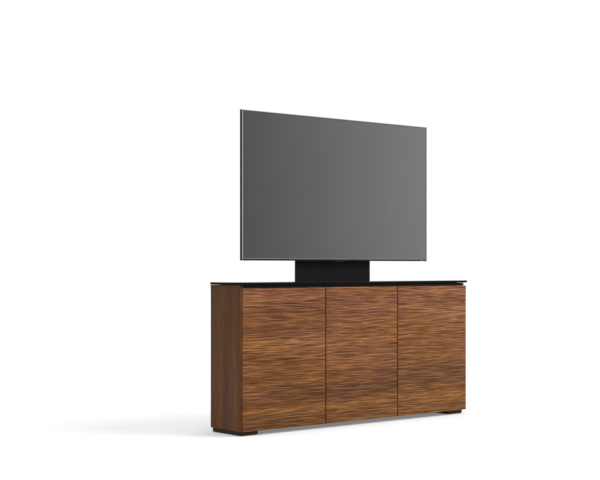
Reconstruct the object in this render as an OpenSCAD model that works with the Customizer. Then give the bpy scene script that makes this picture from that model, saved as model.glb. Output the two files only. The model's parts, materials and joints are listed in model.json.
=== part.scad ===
// Low media cabinet with three carved doors, a floating glass top and a rear post that carries a screen.
// Lengths are millimetres. The front faces -Y, and the origin is on the floor under the middle.
// Inside the modules, Y is counted backwards from the door fronts, and place() centres the whole.

/* [Carcass] */
// Width over the side panels
cabinet_w = 1650; // [1400:10:1900]
// Depth of the carcass behind the doors
carcass_d = 250; // [236:2:320]
// Height of the carcass without its feet
carcass_h = 741; // [640:1:820]
// Thickness of the sides, partitions, top, bottom and shelves
panel_t = 19; // [16:0.5:22]
// Distance between the middles of the two partitions
partition_pitch = 532; // [460:2:600]
// Free depth behind the rear rails, where the posts stand
rear_void = 24; // [23:1:34]
// Thickness of the rear rails
rail_t = 18; // [15:1:22]
// Height of the rear rails
rail_h = 60; // [50:1:80]
// Thickness of the back panels
back_panel_t = 6; // [4:0.5:8]
// Depth of the dark rail along the top's front edge
front_rail_d = 18; // [12:1:30]
// Radius of the fixing holes for the wall anchor
anchor_hole_r = 3.5; // [2.5:0.1:5]
// Distance between the two wall anchor holes
anchor_pitch = 1400; // [1200:10:1480]

/* [Feet] */
// Height from the floor to the carcass
foot_h = 24; // [18:1:40]
// Width of each foot block
foot_w = 113; // [80:1:160]
// Distance of a foot from the side's outer face
foot_inset = 8; // [4:1:20]
// Distance of a foot from the carcass front
foot_front_set = 6; // [2:1:20]
// Distance of a foot from the carcass back
foot_back_set = 8; // [2:1:20]
// Thickness of the felt pads under the feet
pad_t = 2; // [1:0.5:4]

/* [Glass top] */
// Thickness of the glass
glass_t = 12.5; // [8:0.5:14]
// Gap between the carcass and the glass
glass_gap = 1.5; // [1:0.5:8]
// Overhang of the glass past each side panel
glass_over = 12; // [4:1:20]
// Distance of the glass edge behind the door fronts
glass_front_set = 4; // [2:1:12]
// Distance of the glass edge before the carcass back
glass_back_set = 12; // [6:1:20]
// Clearance round the column in the glass notch
notch_clear = 4; // [2:0.5:8]
// Radius of the glass top's corners seen from above
glass_corner_r = 3; // [1:0.5:6]
// Radius of the clear pads that carry the glass
bumper_r = 10; // [6:1:14]

/* [Doors] */
// Thickness of the doors at the carved ridges
door_t = 20; // [18:0.5:24]
// Gap between the closed doors and the carcass
door_back_gap = 2; // [1.5:0.5:4]
// Gap between neighbouring doors
door_gap = 3; // [2:0.5:5]
// Distance from the carcass top down to the door tops
door_top_set = 16; // [8:1:17]
// Height of the hinge centres from the door's ends
hinge_inset = 96; // [70:1:140]
// Radius of the hinge cups
cup_r = 17.5; // [17:0.5:18]
// Depth of the cup bores in the doors
cup_depth = 12; // [11:0.5:13]
// Distance from the door's edge to the cup's middle
cup_edge = 22.5; // [21.5:0.5:24]

/* [Latches] */
// Radius of the touch latch plungers
plunger_r = 4; // [3:0.5:5]
// Length of the touch latch housings
latch_len = 70; // [60:1:90]
// Travel of a plunger when the door is pressed
press_travel = 2.5; // [1.5:0.5:2.5]
// Distance of a latch from the door's free edge
latch_edge = 32; // [28:1:60]

/* [Shelves] */
// Height of the shelf tops above the carcass bottom
shelf_z = 372; // [250:1:450]
// Clearance at each end of a shelf
shelf_clear = 1; // [0.5:0.5:2]
// Distance of the shelf behind the carcass front
shelf_front_set = 8; // [4:1:30]
// Radius of the shelf pins
pin_r = 2.5; // [2:0.5:3]
// Spacing of the shelf pin holes
pin_pitch = 32; // [28:1:40]

/* [Column] */
// Width of the column cover
cover_w = 552; // [480:2:620]
// Distance from the door fronts to the column's face
cover_front = 238; // [228:1:239]
// Thickness of the cover's sheet
cover_t = 2; // [1.5:0.5:3]
// Gap between the cover's top and the mounting plate
cover_below = 49; // [20:1:80]
// Distance between the middles of the two posts
post_pitch = 400; // [360:2:440]
// Width of the post tube
post_w = 60; // [40:1:70]
// Depth of the post tube
post_d = 20; // [16:1:22]
// Wall of the post tube
post_wall = 2; // [1.5:0.5:3]
// Height of the posts above the mounting plate
post_over = 34; // [20:1:60]
// Height of the crossbar above the carcass
crossbar_rise = 168; // [60:2:180]
// Width of the mounting plate
hook_plate_w = 520; // [490:2:560]
// Height of the mounting plate
hook_plate_h = 340; // [300:2:344]

/* [Screen] */
// Width of the screen
screen_w = 1376; // [1200:4:1480]
// Height of the screen
screen_h = 790; // [700:2:840]
// Gap between the glass and the screen's lower edge
screen_gap = 112; // [90:1:200]
// Distance from the door fronts to the screen's face
screen_front = 188; // [170:1:188]
// Thickness of the screen's edge
screen_edge_t = 11; // [9:0.5:14]
// Thickness of the screen with its back cover
screen_t = 40; // [34:1:40]
// Width of the bezel at the sides and the top
bezel_side = 6; // [4:0.5:10]
// Height of the bezel along the bottom
bezel_bottom = 9; // [6:0.5:14]
// Sideways spacing of the mounting threads in the screen's back
thread_pitch = 400; // [380:10:400]
// Upright spacing of the mounting threads in the screen's back
thread_rise = 200; // [160:10:220]
// Spacing of the direct fixing holes in the mounting plate
plate_pitch = 200; // [100:100:200]
// Distance that the screen lifts to leave its hooks
lift_travel = 25; // [20:1:26]

/* [Hidden] */
$fn = 48;
hair = 0.01;
carcass_front = door_t + door_back_gap;
overall_d = carcass_front + carcass_d;
half_w = cabinet_w / 2;
inner_w = half_w - panel_t;
floor_z = foot_h + panel_t;
carcass_top = foot_h + carcass_h;
ceiling_z = carcass_top - panel_t;
rail_back = overall_d - rear_void;
rail_front = rail_back - rail_t;
glass_z = carcass_top + glass_gap;
glass_top_z = glass_z + glass_t;
glass_back = overall_d - glass_back_set;
door_top = carcass_top - door_top_set;
part_x = partition_pitch / 2;
part_half = panel_t / 2;
pad_inset = 8;
pad_len = 60;
bumper_set_x = 30;
bumper_set_y = 40;

// Cup hinge: places are counted from the door's hinge edge and front face
pin_x = 17.9;
pin_y = door_t - 6.8;
knee_x = pin_x + 14.6;
knee_y = pin_y + 14;
tail_x = pin_x + 14;
tail_y = pin_y + 50.5;
link_t = 3;
link_h = 12;
link_clear = 0.6;
knee_r = link_t / 2 + 0.4;
eye_r = 3.5;
pivot_r = 1.5;
pivot_clear = 0.05;
cup_wall = 1.2;
cup_lip = 1.2;
cup_lip_w = 24;
cup_lip_h = 52;
cup_screw_z = 22;
arm_x = 27;
arm_reach = 14.5;
arm_sheet = 1.5;
arm_front = carcass_front + 6;
arm_len = 52;
plate_t = 3;
plate_len = 48;
plate_h = 44;
plate_screw_z = 16;
block_set = 6;
screw_r = 2;
head_r = 3.6;
head_t = 1.6;
hinge_zs = [foot_h + hinge_inset, door_top - hinge_inset];

// Touch latches
strike_t = 1;
strike_r = 8;
tip_gap = 0.2;
bore_clear = 0.1;
latch_wall = 3;
latch_z = ceiling_z - plunger_r - latch_wall - 1;
latch_front = carcass_front + press_travel - door_back_gap + strike_t + 1;
plunger_len = 44;

// Shelves, pins and the rows of holes that take them
pin_depth = 9;
pin_out = 8;
pin_seat = 0.1;
row_holes = 5;
row_front_set = 37;
row_back_set = 42;
row_ds = [carcass_front + row_front_set, rail_front - row_back_set];
shelf_top = foot_h + shelf_z;
shelf_under = shelf_top - panel_t;
shelf_back_set = 6;
shelf_back = rail_front - shelf_back_set;

// Back panels, their vents and cable outlets
panel_play = 0.5;
panel_screw_set = 30;
vent_rows = 3;
vent_w = 60;
vent_h = 6;
vents = 4;
vent_pitch = 84;
vent_set = 46;
grommet_r = 30;
grommet_wall = 2.5;
grommet_lip = 5;
grommet_rise = 90;
grommet_z = rail_h + floor_z + grommet_rise;

// Screen, from its face back to its mounting face
screen_x = screen_w / 2;
screen_low = glass_top_z + screen_gap;
screen_mid_z = screen_low + screen_h / 2;
screen_high = screen_low + screen_h;
edge_back = screen_front + screen_edge_t;
screen_back = screen_front + screen_t;
shell_t = 2;
display_t = 2.5;
display_set = 1.5;
tray_t = 1.2;
back_inset_x = 150;
back_inset_z = 80;
boss_r = 8;
inlet_mid_y = (edge_back + screen_back) / 2;
thread_r = 3.1;
thread_bolt_r = 3;
thread_bolt_clear = 0.3;
thread_bolt_head_r = 5.5;
thread_bolt_head_t = 4;
thread_bolt_in = 14;
back_vent_w = 60;
back_vent_h = 3;
back_vent_pitch_x = 84;
back_vent_pitch_z = 9;
back_vents = 10;
back_vent_rows = 4;
back_vent_set = 40;
inlet_x = -300;
inlet_w = 28;
inlet_d = 18;
inlet_deep = 24;
inlet_wall = 2.5;
inlet_pin_r = 1.2;
inlet_pin_len = 14;
inlet_pin_x = 4.5;
inlet_fit = 0.1;
inlet_lip = 3;
board_x = 100;
board_w = 170;
board_h = 150;
board_t = 1.6;
board_spacer = 5;
board_spacer_r = 3;
board_spacer_set = 10;

// Column, posts and the plate that carries the screen
post_x = post_pitch / 2;
post_bottom = floor_z + 14;
bolt_past = 10;
cap_t = 3;
cap_plug = 12;
bolt_r = 4;
bolt_hole_r = 4.2;
bolt_head_r = 6.5;
bolt_head_t = 5;
hook_plate_t = 3;
hook_plate_set = 14;
hook_plate_z = screen_mid_z - hook_plate_set;
plate_low = hook_plate_z - hook_plate_h / 2;
plate_high = hook_plate_z + hook_plate_h / 2;
plate_face = rail_back - hook_plate_t;
cover_top = plate_low - cover_below;
post_top = plate_high + post_over;
plate_bolt_set = 24;
plate_hole_r = 3.3;
lip_reach = 9;
lip_up = 15;
hook_gap = 0.4;
crossbar_h = 50;
crossbar_z = carcass_top + crossbar_rise;
clip_w = 30;
clip_h = 36;
clip_low_set = 60;
clip_high_set = 40;
clip_zs = [carcass_top + clip_low_set, cover_top - clip_high_set];

// Brackets that hook over the mounting plate
bracket_t = 2.5;
bracket_w = 34;
bracket_gap = 0.6;
bracket_back = plate_face - bracket_gap;
bracket_past = 10;
hook_play = 2;
bracket_low = plate_low + bracket_past;
bracket_high = plate_high + lip_up + bracket_past;

walnut = "#6b4630";
dark_brown = "#33261c";
black = "#1c1c1c";
steel = "#a9acb0";
near_black = "#101112";

// Moves the model from its door-front datum to the centred frame
module place() {
    translate([0, -overall_d / 2, 0]) children();
}

// A box between two opposite corners
module block(low, high) {
    translate(low) cube(high - low);
}

// A round bar or bore along Y, from the depth y with the given length
module rod_y(x, y, z, r, len) {
    translate([x, y, z]) rotate([-90, 0, 0]) cylinder(r = r, h = len);
}

// A round bar or bore along X
module rod_x(x, y, z, r, len) {
    translate([x, y, z]) rotate([0, 90, 0]) cylinder(r = r, h = len);
}

// Rows of blind shelf pin holes that open at x and run towards the given side
module pin_rows(x, towards) {
    for (d = row_ds, k = [0 : row_holes - 1]) {
        z = shelf_under - pin_r + (k - (row_holes - 1) / 2) * pin_pitch;
        rod_x(towards > 0 ? x : x - pin_depth, d, z, pin_r, pin_depth);
    }
}

module side_panel(side) {
    color(walnut) place() difference() {
        block([side > 0 ? inner_w : -half_w, carcass_front, foot_h],
              [side > 0 ? half_w : -inner_w, overall_d, carcass_top]);
        pin_rows(side * inner_w, side);
    }
}

module partition(side) {
    color(walnut) place() difference() {
        block([side * part_x - part_half, carcass_front, floor_z],
              [side * part_x + part_half, rail_front, ceiling_z]);
        pin_rows(side * part_x - part_half, 1);
        pin_rows(side * part_x + part_half, -1);
    }
}

module bottom_panel() {
    color(walnut) place()
        block([-inner_w, carcass_front, foot_h], [inner_w, rail_back, floor_z]);
}

module top_panel() {
    color(walnut) place()
        block([-inner_w, carcass_front + front_rail_d, ceiling_z], [inner_w, rail_back, carcass_top]);
}

module top_front_rail() {
    color(dark_brown) place()
        block([-inner_w, carcass_front, ceiling_z],
              [inner_w, carcass_front + front_rail_d, carcass_top]);
}

// The upper rail holds the wall anchor holes, and both rails take the post bolts
module upper_back_rail() {
    color(walnut) place() difference() {
        block([-inner_w, rail_front, ceiling_z - rail_h], [inner_w, rail_back, ceiling_z]);
        for (side = [-1, 1]) {
            rod_y(side * anchor_pitch / 2, rail_front - hair, ceiling_z - rail_h / 2,
                  anchor_hole_r, rail_t + 2 * hair);
            rod_y(side * post_x, rail_front - hair, ceiling_z - rail_h / 2,
                  bolt_hole_r, rail_t + 2 * hair);
        }
    }
}

module lower_back_rail() {
    color(walnut) place() difference() {
        block([-inner_w, rail_front, floor_z], [inner_w, rail_back, floor_z + rail_h]);
        for (side = [-1, 1])
            rod_y(side * post_x, rail_front - hair, floor_z + rail_h / 2,
                  bolt_hole_r, rail_t + 2 * hair);
    }
}

// Limits of the three bays in X, at the partitions' middles
function bay_low(bay) = bay == 0 ? -inner_w : (bay == 1 ? -part_x : part_x);
function bay_high(bay) = bay == 0 ? -part_x : (bay == 1 ? part_x : inner_w);
function bay_mid(bay) = (bay_low(bay) + bay_high(bay)) / 2;

// A removable vented panel that closes one bay between the rear rails
module back_panel(bay) {
    low_z = floor_z + rail_h + panel_play;
    high_z = ceiling_z - rail_h - panel_play;
    color(near_black) place() difference() {
        block([bay_low(bay) + panel_play, rail_front, low_z],
              [bay_high(bay) - panel_play, rail_front + back_panel_t, high_z]);
        rod_y(bay_mid(bay), rail_front - hair, grommet_z, grommet_r, back_panel_t + 2 * hair);
        for (k = [0 : vents - 1], row = [0 : vent_rows - 1])
            translate([bay_mid(bay) + (k - (vents - 1) / 2) * vent_pitch - vent_w / 2,
                       rail_front - hair, high_z - vent_set - row * vent_h * 3])
                cube([vent_w, back_panel_t + 2 * hair, vent_h]);
        for (z = panel_screw_zs())
            for (x = panel_screw_xs(bay))
                rod_y(x, rail_front - hair, z, screw_r, back_panel_t + 2 * hair);
    }
}

function panel_screw_zs() = [floor_z + rail_h + panel_screw_set, ceiling_z - rail_h - panel_screw_set];
function panel_screw_xs(bay) = concat(bay == 0 ? [] : [bay_low(bay) + part_half / 2 + 1],
                                      bay == 2 ? [] : [bay_high(bay) - part_half / 2 - 1]);

// Screws that hold the back panels to the partitions' rear edges
module back_panel_screws() {
    color(steel) place()
        for (bay = [0 : 2], z = panel_screw_zs())
            for (x = panel_screw_xs(bay))
                rod_y(x, rail_front + back_panel_t, z, head_r, head_t);
}

module cable_grommets() {
    color(black) place()
        for (bay = [0 : 2])
            difference() {
                union() {
                    rod_y(bay_mid(bay), rail_front, grommet_z, grommet_r, back_panel_t);
                    rod_y(bay_mid(bay), rail_front + back_panel_t, grommet_z,
                          grommet_r + grommet_lip, grommet_wall);
                }
                rod_y(bay_mid(bay), rail_front - hair, grommet_z, grommet_r - grommet_wall,
                      back_panel_t + grommet_wall + 2 * hair);
            }
}

// Clear limits of a bay between the upright boards
function clear_low(bay) = bay == 0 ? -inner_w : bay_low(bay) + part_half;
function clear_high(bay) = bay == 2 ? inner_w : bay_high(bay) - part_half;

module shelf(bay) {
    color(walnut) place()
        block([clear_low(bay) + shelf_clear, carcass_front + shelf_front_set, shelf_under],
              [clear_high(bay) - shelf_clear, shelf_back, shelf_top]);
}

module shelf_pins() {
    color(steel) place()
        for (bay = [0 : 2], d = row_ds) {
            rod_x(clear_low(bay) - pin_depth + pin_seat, d, shelf_under - pin_r, pin_r - pin_seat / 2,
                  pin_depth + pin_out);
            rod_x(clear_high(bay) - pin_out - pin_seat, d, shelf_under - pin_r, pin_r - pin_seat / 2,
                  pin_depth + pin_out);
        }
}

function foot_low_x(side) = side > 0 ? half_w - foot_inset - foot_w : foot_inset - half_w;

module foot(side) {
    x = foot_low_x(side);
    color(near_black) place()
        block([x, carcass_front + foot_front_set, pad_t], [x + foot_w, overall_d - foot_back_set, foot_h]);
}

module foot_pads() {
    color(black) place()
        for (side = [-1, 1]) {
            x = foot_low_x(side);
            front = carcass_front + foot_front_set + pad_inset;
            back = overall_d - foot_back_set - pad_inset;
            block([x + pad_inset, front, 0], [x + foot_w - pad_inset, front + pad_len, pad_t]);
            block([x + pad_inset, back - pad_len, 0], [x + foot_w - pad_inset, back, pad_t]);
        }
}

// Seen from above, the glass has round corners and a rear notch for the column
module glass_top() {
    x = half_w + glass_over;
    r = glass_corner_r;
    notch_x = cover_w / 2 + notch_clear;
    color(near_black) place() difference() {
        translate([0, 0, glass_z]) linear_extrude(glass_t) {
            translate([-x + r, glass_front_set]) square([2 * (x - r), glass_back - glass_front_set]);
            translate([-x, glass_front_set + r]) square([2 * x, glass_back - glass_front_set - 2 * r]);
            for (cx = [-x + r, x - r], cy = [glass_front_set + r, glass_back - r])
                translate([cx, cy]) circle(r);
        }
        block([-notch_x, cover_front - notch_clear, glass_z - 1],
              [notch_x, glass_back + 1, glass_top_z + 1]);
    }
}

module glass_bumpers() {
    color("#d8dcdc") place()
        for (x = [-1, -1 / 3, 1 / 3, 1], d = [carcass_front + bumper_set_y, rail_front - bumper_set_y])
            translate([x * (inner_w - bumper_set_x), d, carcass_top]) cylinder(r = bumper_r, h = glass_gap);
}

// Doors: each has a hinge edge at x and reaches from there to the given side
function door_edge(bay) = bay == 0 ? -half_w : (bay == 1 ? -part_x + door_gap / 2 : half_w);
function door_side(bay) = bay == 2 ? -1 : 1;
function door_w(bay) = bay == 1 ? partition_pitch - door_gap : half_w - part_x - door_gap / 2;

// Puts children, modelled from the hinge edge towards +X, at a door
module at_door(bay) {
    place() translate([door_edge(bay), 0, 0]) mirror([door_side(bay) > 0 ? 0 : 1, 0, 0]) children();
}

module door(bay) {
    color(walnut) at_door(bay) difference() {
        block([0, 0, foot_h], [door_w(bay), door_t, door_top]);
        for (z = hinge_zs) {
            rod_y(cup_edge, door_t - cup_depth, z, cup_r, cup_depth + hair);
        }
    }
}

// Steel cups let into the doors, each with the pivot pin of its link across it
module hinge_cups(bay) {
    half_pin = sqrt(pow(cup_r - cup_wall, 2) - pow(cup_edge - pin_x, 2)) + cup_wall / 2;
    color(steel) at_door(bay)
        for (z = hinge_zs) {
            difference() {
                union() {
                    rod_y(cup_edge, door_t - cup_depth, z, cup_r, cup_depth);
                    translate([cup_edge - cup_lip_w / 2, door_t, z - cup_lip_h / 2])
                        cube([cup_lip_w, cup_lip, cup_lip_h]);
                }
                rod_y(cup_edge, door_t - cup_depth + cup_wall, z, cup_r - cup_wall,
                      cup_depth + cup_lip + hair);
                for (s = [-1, 1])
                    rod_y(cup_edge, door_t - hair, z + s * cup_screw_z, screw_r, cup_lip + 2 * hair);
            }
            translate([pin_x, pin_y, z - half_pin]) cylinder(r = pivot_r, h = 2 * half_pin);
        }
}

// A flat bar in plan from one point to another
module bar2d(x0, y0, x1, y1, t) {
    run = norm([x1 - x0, y1 - y0]);
    translate([x0, y0]) rotate(atan2(y1 - y0, x1 - x0)) translate([0, -t / 2]) square([run, t]);
}

// Cranked link: an eye on the cup's pin, a knee, and a tail that slides in the arm
module hinge_links(bay) {
    color(steel) at_door(bay)
        for (z = hinge_zs)
            difference() {
                translate([0, 0, z - link_h / 2]) linear_extrude(link_h) {
                    translate([pin_x, pin_y]) circle(eye_r);
                    bar2d(pin_x, pin_y, knee_x, knee_y, link_t);
                    translate([knee_x, knee_y]) circle(knee_r);
                    bar2d(knee_x, knee_y, tail_x, tail_y, link_t);
                }
                translate([pin_x, pin_y, z - link_h]) cylinder(r = pivot_r + pivot_clear, h = 2 * link_h);
            }
}

// Inner face of the board that carries a door's hinges, from the door's hinge edge
function hinge_wall(bay) = bay == 1 ? part_half - door_gap / 2 : panel_t;

// Hollow arms that guide the links
module hinge_arms() {
    for (bay = [0 : 2])
        color(steel) at_door(bay)
            for (z = hinge_zs) {
                half_h = link_h / 2 + link_clear;
                difference() {
                    block([arm_x - arm_sheet, arm_front, z - half_h - arm_sheet],
                          [arm_x + arm_reach + arm_sheet, arm_front + arm_len, z + half_h + arm_sheet]);
                    block([arm_x, arm_front - 1, z - half_h],
                          [arm_x + arm_reach, arm_front + arm_len + 1, z + half_h]);
                }
                block([hinge_wall(bay) + plate_t, arm_front + block_set, z - half_h],
                      [arm_x - arm_sheet, arm_front + plate_len - block_set, z + half_h]);
            }
}

module hinge_plates() {
    for (bay = [0 : 2])
        color(steel) at_door(bay)
            for (z = hinge_zs)
                difference() {
                    block([hinge_wall(bay), arm_front, z - plate_h / 2],
                          [hinge_wall(bay) + plate_t, arm_front + plate_len, z + plate_h / 2]);
                    for (s = [-1, 1])
                        rod_x(hinge_wall(bay) - hair, arm_front + plate_len / 2, z + s * plate_screw_z,
                              screw_r, plate_t + 2 * hair);
                }
}

// Latch middles in X, near each door's free edge
function latch_x(bay) = door_edge(bay) + door_side(bay) * (door_w(bay) - latch_edge);

module latch_housings() {
    color("#e4e2dc") place()
        for (bay = [0 : 2])
            difference() {
                union() {
                    rod_y(latch_x(bay), latch_front, latch_z, plunger_r + latch_wall, latch_len);
                    block([latch_x(bay) - plunger_r - latch_wall, latch_front, latch_z],
                          [latch_x(bay) + plunger_r + latch_wall, latch_front + latch_len, ceiling_z]);
                }
                rod_y(latch_x(bay), latch_front - hair, latch_z, plunger_r + bore_clear,
                      latch_len - latch_wall);
            }
}

module latch_plunger(bay) {
    color("#d5d3cd") place()
        rod_y(latch_x(bay), door_t + strike_t + tip_gap, latch_z, plunger_r, plunger_len);
}

module latch_strike(bay) {
    color(steel) place() rod_y(latch_x(bay), door_t, latch_z, strike_r, strike_t);
}

// Rectangular steel tube with bolt holes for the rails and a ladder of holes for the plate
module post(side) {
    x = side * post_x;
    color(black) place() difference() {
        block([x - post_w / 2, rail_back, post_bottom], [x + post_w / 2, rail_back + post_d, post_top]);
        block([x - post_w / 2 + post_wall, rail_back + post_wall, post_bottom - 1],
              [x + post_w / 2 - post_wall, rail_back + post_d - post_wall, post_top + 1]);
        for (z = concat(post_bolt_zs(), plate_bolt_zs()))
            rod_y(x, rail_back - hair, z, bolt_hole_r, post_wall + 2 * hair);
    }
}

function post_bolt_zs() = [floor_z + rail_h / 2, ceiling_z - rail_h / 2];
function plate_bolt_zs() = [plate_low + plate_bolt_set, plate_high - plate_bolt_set];

module post_caps() {
    color(black) place()
        for (side = [-1, 1]) {
            x = side * post_x;
            block([x - post_w / 2, rail_back, post_top],
                  [x + post_w / 2, rail_back + post_d, post_top + cap_t]);
            block([x - post_w / 2 + post_wall, rail_back + post_wall, post_top - cap_plug],
                  [x + post_w / 2 - post_wall, rail_back + post_d - post_wall, post_top]);
        }
}

// Bolts through the rear rails into the posts, heads inside the cabinet
module post_bolts() {
    color(steel) place()
        for (side = [-1, 1], z = post_bolt_zs()) {
            rod_y(side * post_x, rail_front - bolt_head_t, z, bolt_head_r, bolt_head_t);
            rod_y(side * post_x, rail_front, z, bolt_r, rail_t + bolt_past);
        }
}

module mount_crossbar() {
    color(black) place()
        block([-post_x + post_w / 2, rail_back, crossbar_z],
              [post_x - post_w / 2, rail_back + post_d, crossbar_z + crossbar_h]);
}

// Plate with an upturned lip at its top edge for the screen's hooks
module mount_plate() {
    color(black) place() difference() {
        union() {
            block([-hook_plate_w / 2, plate_face, plate_low], [hook_plate_w / 2, rail_back, plate_high]);
            block([-hook_plate_w / 2, plate_face - lip_reach, plate_high - hook_plate_t],
                  [hook_plate_w / 2, plate_face, plate_high]);
            block([-hook_plate_w / 2, plate_face - lip_reach, plate_high],
                  [hook_plate_w / 2, plate_face - lip_reach + hook_plate_t, plate_high + lip_up]);
        }
        for (side = [-1, 1], z = plate_bolt_zs())
            rod_y(side * post_x, plate_face - hair, z, bolt_hole_r, hook_plate_t + 2 * hair);
        for (sx = [-1, 1], sz = [-1, 1])
            rod_y(sx * plate_pitch / 2, plate_face - hair, hook_plate_z + sz * plate_pitch / 2,
                  plate_hole_r, hook_plate_t + 2 * hair);
    }
}

module plate_bolts() {
    color(steel) place()
        for (side = [-1, 1], z = plate_bolt_zs()) {
            rod_y(side * post_x, plate_face - bolt_head_t, z, bolt_head_r, bolt_head_t);
            rod_y(side * post_x, plate_face, z, bolt_r, hook_plate_t + bolt_past);
        }
}

// Folded black cover: a front face with two side returns and a top return
module column_cover() {
    x = cover_w / 2;
    color(black) place() difference() {
        block([-x, cover_front, carcass_top], [x, rail_back, cover_top]);
        block([-x + cover_t, cover_front + cover_t, carcass_top - 1],
              [x - cover_t, rail_back + 1, cover_top - cover_t]);
    }
}

module cover_clips() {
    color(steel) place()
        for (side = [-1, 1], z = clip_zs)
            block([side * post_x - clip_w / 2, cover_front + cover_t, z - clip_h / 2],
                  [side * post_x + clip_w / 2, rail_back, z + clip_h / 2]);
}

// Hook bracket: a web on the screen's back with two flanges that hook over the plate's lip
module hook_bracket(side) {
    x = side * thread_pitch / 2;
    face = screen_back + bracket_t;
    slot_front = plate_face - lip_reach - hook_gap;
    slot_back = plate_face - lip_reach + hook_plate_t + hook_gap;
    lip_top = plate_high + lip_up;
    wide_top = plate_high - hook_plate_t - lift_travel - hook_play;
    color(black) place() {
        difference() {
            block([x - bracket_w / 2, screen_back, bracket_low], [x + bracket_w / 2, face, bracket_high]);
            for (s = [-1, 1])
                rod_y(x, screen_back - hair, screen_mid_z + s * thread_rise / 2,
                      thread_bolt_r + thread_bolt_clear,
                      bracket_t + 2 * hair);
        }
        for (s = [-1, 1])
            translate([x + s * (bracket_w / 2 - bracket_t / 2) - bracket_t / 2, 0, 0])
                rotate([90, 0, 90]) linear_extrude(bracket_t)
                    polygon([
                        [face, bracket_low], [bracket_back, bracket_low], [bracket_back, wide_top],
                        [slot_front, wide_top], [slot_front, lip_top], [slot_back, lip_top],
                        [slot_back, plate_high + hook_play], [bracket_back, plate_high + hook_play],
                        [bracket_back, bracket_high], [face, bracket_high]
                    ]);
    }
}

module bracket_bolts() {
    color(steel) place()
        for (side = [-1, 1], s = [-1, 1]) {
            x = side * thread_pitch / 2;
            z = screen_mid_z + s * thread_rise / 2;
            rod_y(x, screen_back + bracket_t, z, thread_bolt_head_r, thread_bolt_head_t);
            rod_y(x, screen_back - thread_bolt_in, z, thread_bolt_r, thread_bolt_in + bracket_t);
        }
}

module screen_bezel() {
    color(near_black) place() difference() {
        block([-screen_x, screen_front, screen_low], [screen_x, edge_back, screen_high]);
        block([-screen_x + bezel_side, screen_front - 1, screen_low + bezel_bottom],
              [screen_x - bezel_side, edge_back + 1, screen_high - bezel_side]);
        block([-screen_x + shell_t, screen_front + display_set, screen_low + shell_t],
              [screen_x - shell_t, edge_back + 1, screen_high - shell_t]);
    }
}

module display_panel() {
    color("#55585b") place()
        block([-screen_x + shell_t, screen_front + display_set, screen_low + shell_t],
              [screen_x - shell_t, screen_front + display_set + display_t, screen_high - shell_t]);
}

// Steel tray behind the display, with threaded bosses for the brackets
module backlight_tray() {
    low = screen_front + display_set + display_t;
    color(steel) place() difference() {
        union() {
            block([-screen_x + shell_t, low, screen_low + shell_t],
                  [screen_x - shell_t, low + tray_t, screen_high - shell_t]);
            for (side = [-1, 1], s = [-1, 1])
                rod_y(side * thread_pitch / 2, low, screen_mid_z + s * thread_rise / 2, boss_r,
                      screen_back - shell_t - low);
        }
        for (side = [-1, 1], s = [-1, 1])
            rod_y(side * thread_pitch / 2, low + tray_t + 2, screen_mid_z + s * thread_rise / 2,
                  thread_r, screen_back);
    }
}

// Back cover: a thin rim sheet and a deeper box in the middle, open towards the display
module screen_back_cover() {
    bx = screen_x - back_inset_x;
    low_z = screen_low + back_inset_z;
    high_z = screen_high - back_inset_z;
    color(black) place() difference() {
        union() {
            block([-screen_x, edge_back, screen_low], [screen_x, edge_back + shell_t, screen_high]);
            block([-bx, edge_back, low_z], [bx, screen_back, high_z]);
        }
        block([-bx + shell_t, edge_back - 1, low_z + shell_t],
              [bx - shell_t, screen_back - shell_t, high_z - shell_t]);
        for (side = [-1, 1], s = [-1, 1])
            rod_y(side * thread_pitch / 2, screen_back - shell_t - 1,
                  screen_mid_z + s * thread_rise / 2, thread_bolt_r + thread_bolt_clear, shell_t + 2);
        for (k = [0 : back_vents - 1], row = [0 : back_vent_rows - 1])
            translate([(k - (back_vents - 1) / 2) * back_vent_pitch_x - back_vent_w / 2,
                       screen_back - shell_t - 1, high_z - back_vent_set - row * back_vent_pitch_z])
                cube([back_vent_w, shell_t + 2, back_vent_h]);
        translate([inlet_x - inlet_w / 2 - inlet_fit, inlet_mid_y - inlet_d / 2 - inlet_fit, low_z - 1])
            cube([inlet_w + 2 * inlet_fit, inlet_d + 2 * inlet_fit, shell_t + 2]);
    }
}

// Socket for the power lead in the back cover's underside
module power_inlet() {
    low_z = screen_low + back_inset_z;
    x = inlet_x - inlet_w / 2;
    y = inlet_mid_y - inlet_d / 2;
    color(black) place() {
        difference() {
            union() {
                translate([x, y, low_z]) cube([inlet_w, inlet_d, inlet_deep]);
                translate([x - inlet_lip, y - inlet_lip, low_z + shell_t])
                    cube([inlet_w + 2 * inlet_lip, inlet_d + 2 * inlet_lip, inlet_lip]);
            }
            translate([x + inlet_wall, y + inlet_wall, low_z - 1])
                cube([inlet_w - 2 * inlet_wall, inlet_d - 2 * inlet_wall, inlet_deep - inlet_wall + 1]);
        }
        for (s = [-1, 1])
            translate([inlet_x + s * inlet_pin_x, inlet_mid_y, low_z + inlet_deep - inlet_pin_len])
                cylinder(r = inlet_pin_r, h = inlet_pin_len - inlet_wall / 2);
    }
}

// Circuit boards on low spacers behind the tray
module board(x, z, w, h, parts) {
    low = screen_front + display_set + display_t + tray_t;
    top = low + board_spacer + board_t;
    for (sx = [-1, 1], sz = [-1, 1])
        rod_y(x + sx * (w / 2 - board_spacer_set), low, z + sz * (h / 2 - board_spacer_set),
              board_spacer_r, board_spacer);
    block([x - w / 2, low + board_spacer, z - h / 2], [x + w / 2, top, z + h / 2]);
    for (p = parts)
        block([x + p[0], top, z + p[1]], [x + p[0] + p[2], top + p[4], z + p[1] + p[3]]);
}

module main_board() {
    // Each part: its low corner from the middle in X and Z, its width, height and thickness
    parts = [[-40, -20, 50, 50, 6], [30, 20, 20, 30, 3]];
    color("#2f6b45") place() board(board_x, screen_mid_z, board_w, board_h, parts);
}

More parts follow.
